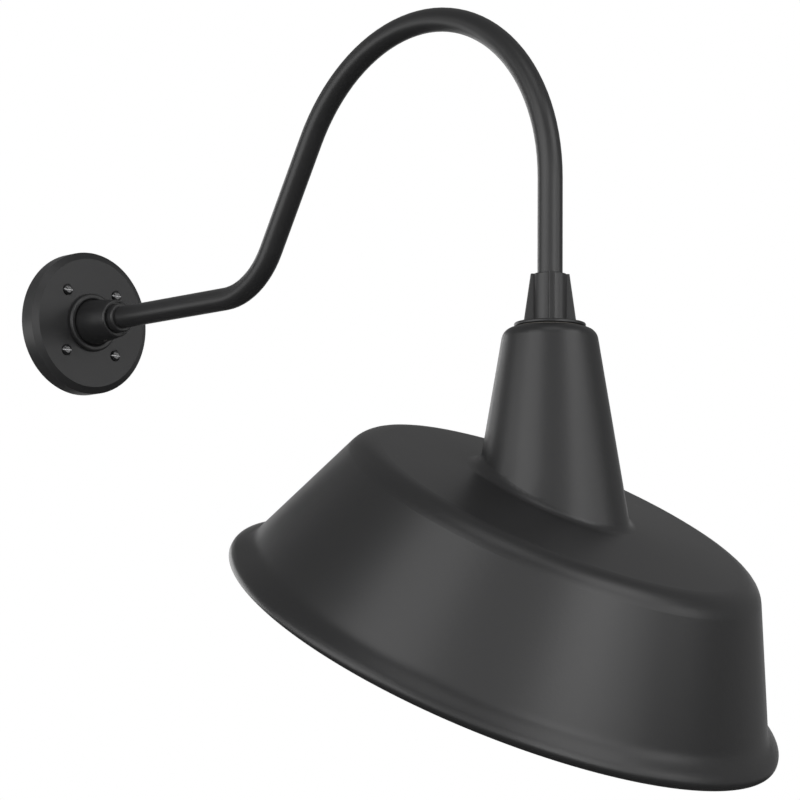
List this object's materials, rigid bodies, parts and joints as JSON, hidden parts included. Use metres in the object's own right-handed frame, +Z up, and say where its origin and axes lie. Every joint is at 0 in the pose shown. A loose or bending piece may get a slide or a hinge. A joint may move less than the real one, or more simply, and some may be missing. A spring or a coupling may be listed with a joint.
{
  "type": "gooseneck wall sconce",
  "caption": "Wall light with a round wall plate, a bent tube arm and a tilted dome shade that turns on the arm's leg.",
  "frame": {"origin": "centre of the wall plate's back in the wall plane, on the axis of the arm's straight run", "axes": "+Z up, +Y into the wall, the arm reaches out along -Y, +X to the right seen from the room"},
  "size_m": [0.4376, 0.7611, 0.6157],
  "materials": {
    "powder_coat": "satin black powder coat",
    "screw_black": "gloss black",
    "zinc_steel": "zinc plated",
    "foam": "closed-cell foam",
    "seal_rubber": "matte",
    "nylon": "natural nylon",
    "black_insulation": "insulation",
    "white_insulation": "insulation",
    "green_insulation": "insulation",
    "cap_plastic": "moulded",
    "green_screw": "green dyed",
    "fibre": "pressed fibre",
    "porcelain": "glazed",
    "brass": "plain",
    "lamp_metal": "drawn",
    "lamp_black_glass": "vitrified",
    "frosted_glass": "frosted inside"
  },
  "bodies": {
    "arm": {"wall_gasket": "foam", "wall_plate": "powder_coat", "plate_screws": "screw_black", "arm_hub": "powder_coat", "hub_locknut": "zinc_steel", "hub_set_screw": "zinc_steel", "gland_ring": "powder_coat", "arm_seal": "seal_rubber", "arm_tube": "powder_coat", "cavity_bushing": "nylon", "tube_bushing": "nylon", "lead_black": "black_insulation", "lead_white": "white_insulation", "ground_lead": "green_insulation", "wire_connectors": "cap_plastic", "ground_screw": "green_screw"},
    "shade_head": {"stem_fitter": "powder_coat", "fitter_set_screws": "zinc_steel", "fitter_gasket": "fibre", "shade": "powder_coat", "shade_locknut": "zinc_steel", "holder_cap": "zinc_steel", "lamp_holder": "porcelain", "holder_screws": "zinc_steel", "terminal_screws": "brass", "screw_shell": "brass", "centre_contact": "brass"},
    "lamp": {"lamp_contact": "lamp_metal", "lamp_insulator": "lamp_black_glass", "lamp_base": "lamp_metal", "lamp_glass": "frosted_glass"}
  },
  "joints": [
    {"name": "shade_swivel", "type": "hinge", "parent": "arm", "child": "shade_head", "pos_m": [0, -0.5884, 0], "axis": [0, 0, 1], "range_deg": [-180, 180]},
    {"name": "lamp_out", "type": "slide", "parent": "shade_head", "child": "lamp", "axis": [0, 0, -1], "range_m": [0, 0.045]}
  ]
}
